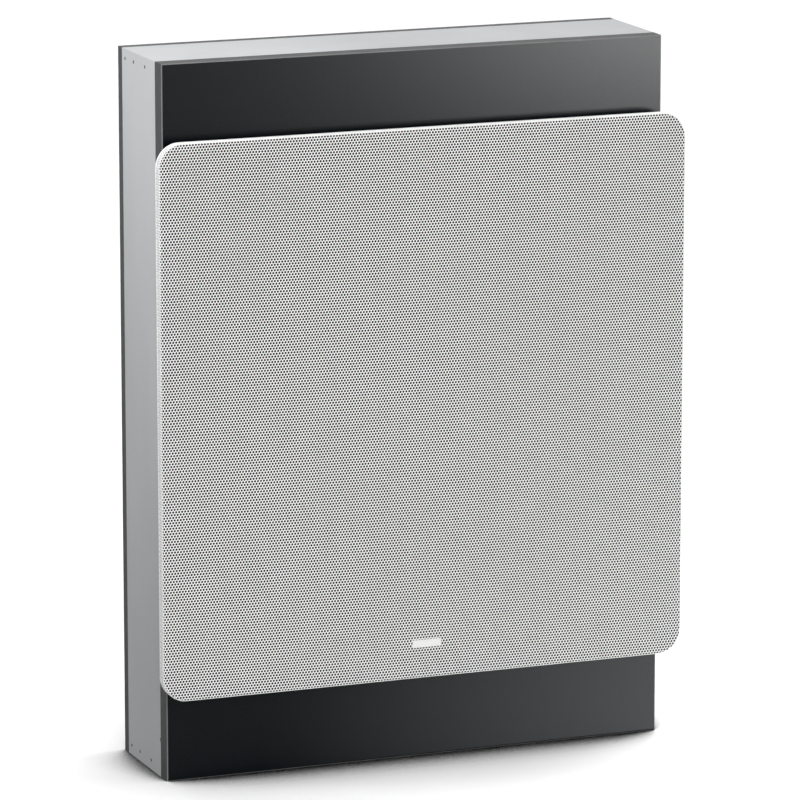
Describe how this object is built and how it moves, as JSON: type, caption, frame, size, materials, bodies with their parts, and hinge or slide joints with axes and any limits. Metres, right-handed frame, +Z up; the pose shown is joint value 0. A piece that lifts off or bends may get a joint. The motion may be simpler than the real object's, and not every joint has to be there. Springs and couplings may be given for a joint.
{
  "type": "in-wall speaker",
  "caption": "In-wall bass speaker: slim sealed back box with black front, grey sides and a square white perforated grille on a frame for the wallboard.",
  "frame": {"origin": "middle of the back box's underside, on the surface that it stands on", "axes": "+X to the right seen from the front, +Y from the grille towards the rear panel, +Z up"},
  "size_m": [0.368, 0.1117, 0.476],
  "materials": {
    "black_panel": "black satin foil on fibreboard",
    "grey_panel": "smooth pale grey paint on fibreboard",
    "dark_board": "raw dark fibreboard",
    "inner_board": "raw fibreboard",
    "white_steel": "white satin powder coat",
    "scrim": "black acoustic cloth",
    "badge": "plain white plate",
    "frame_plastic": "black moulded plastic",
    "fastener_steel": "dark plated steel",
    "plated_steel": "zinc plated steel",
    "basket_metal": "black coated casting",
    "rubber": "soft black rubber",
    "cone_paper": "coated black paper",
    "spider_cloth": "treated yellow cloth",
    "coil_copper": "enamelled wire",
    "ferrite": "dark ferrite",
    "terminal_plastic": "black moulded plastic",
    "red_plastic": "red moulded plastic",
    "black_plastic": "black moulded plastic",
    "red_wire": "red insulated wire",
    "black_wire": "black insulated wire",
    "wadding": "white fibre wadding"
  },
  "bodies": {
    "cabinet": {"front_baffle": "black_panel", "rear_panel": "dark_board", "left_side_panel": "grey_panel", "right_side_panel": "grey_panel", "top_panel": "grey_panel", "bottom_panel": "grey_panel", "upper_brace": "inner_board", "lower_brace": "inner_board", "panel_pins": "fastener_steel", "mounting_frame": "frame_plastic", "frame_screws": "fastener_steel", "grille_magnets": "plated_steel", "grille": "white_steel", "grille_scrim": "scrim", "grille_badge": "badge", "driver_basket": "basket_metal", "driver_screws": "fastener_steel", "driver_surround": "rubber", "spider": "spider_cloth", "top_plate": "plated_steel", "ring_magnet": "ferrite", "yoke": "plated_steel", "driver_terminal": "terminal_plastic", "tinsel_leads": "coil_copper", "terminal_cup": "terminal_plastic", "cup_screws": "fastener_steel", "terminal_block": "terminal_plastic", "wire_red": "red_wire", "wire_black": "black_wire", "damping_wadding": "wadding"},
    "cone_assembly": {"driver_cone": "cone_paper", "dust_cap": "cone_paper", "voice_coil": "coil_copper"},
    "red_lever": {"lever_red": "red_plastic"},
    "black_lever": {"lever_black": "black_plastic"}
  },
  "joints": [
    {"name": "cone_travel", "type": "slide", "parent": "cabinet", "child": "cone_assembly", "axis": [0, 1, 0], "range_m": [-0.006, 0.006], "stiffness_N_per_m": 2500, "deforming": ["driver_surround", "spider", "tinsel_leads"]},
    {"name": "red_lever_press", "type": "hinge", "parent": "cabinet", "child": "red_lever", "pos_m": [-0.011, 0.0383, 0.4266], "axis": [1, 0, 0], "range_deg": [0, 20], "stiffness_Nm_per_rad": 0.3},
    {"name": "black_lever_press", "type": "hinge", "parent": "cabinet", "child": "black_lever", "pos_m": [0.011, 0.0383, 0.4266], "axis": [1, 0, 0], "range_deg": [0, 20], "stiffness_Nm_per_rad": 0.3}
  ]
}
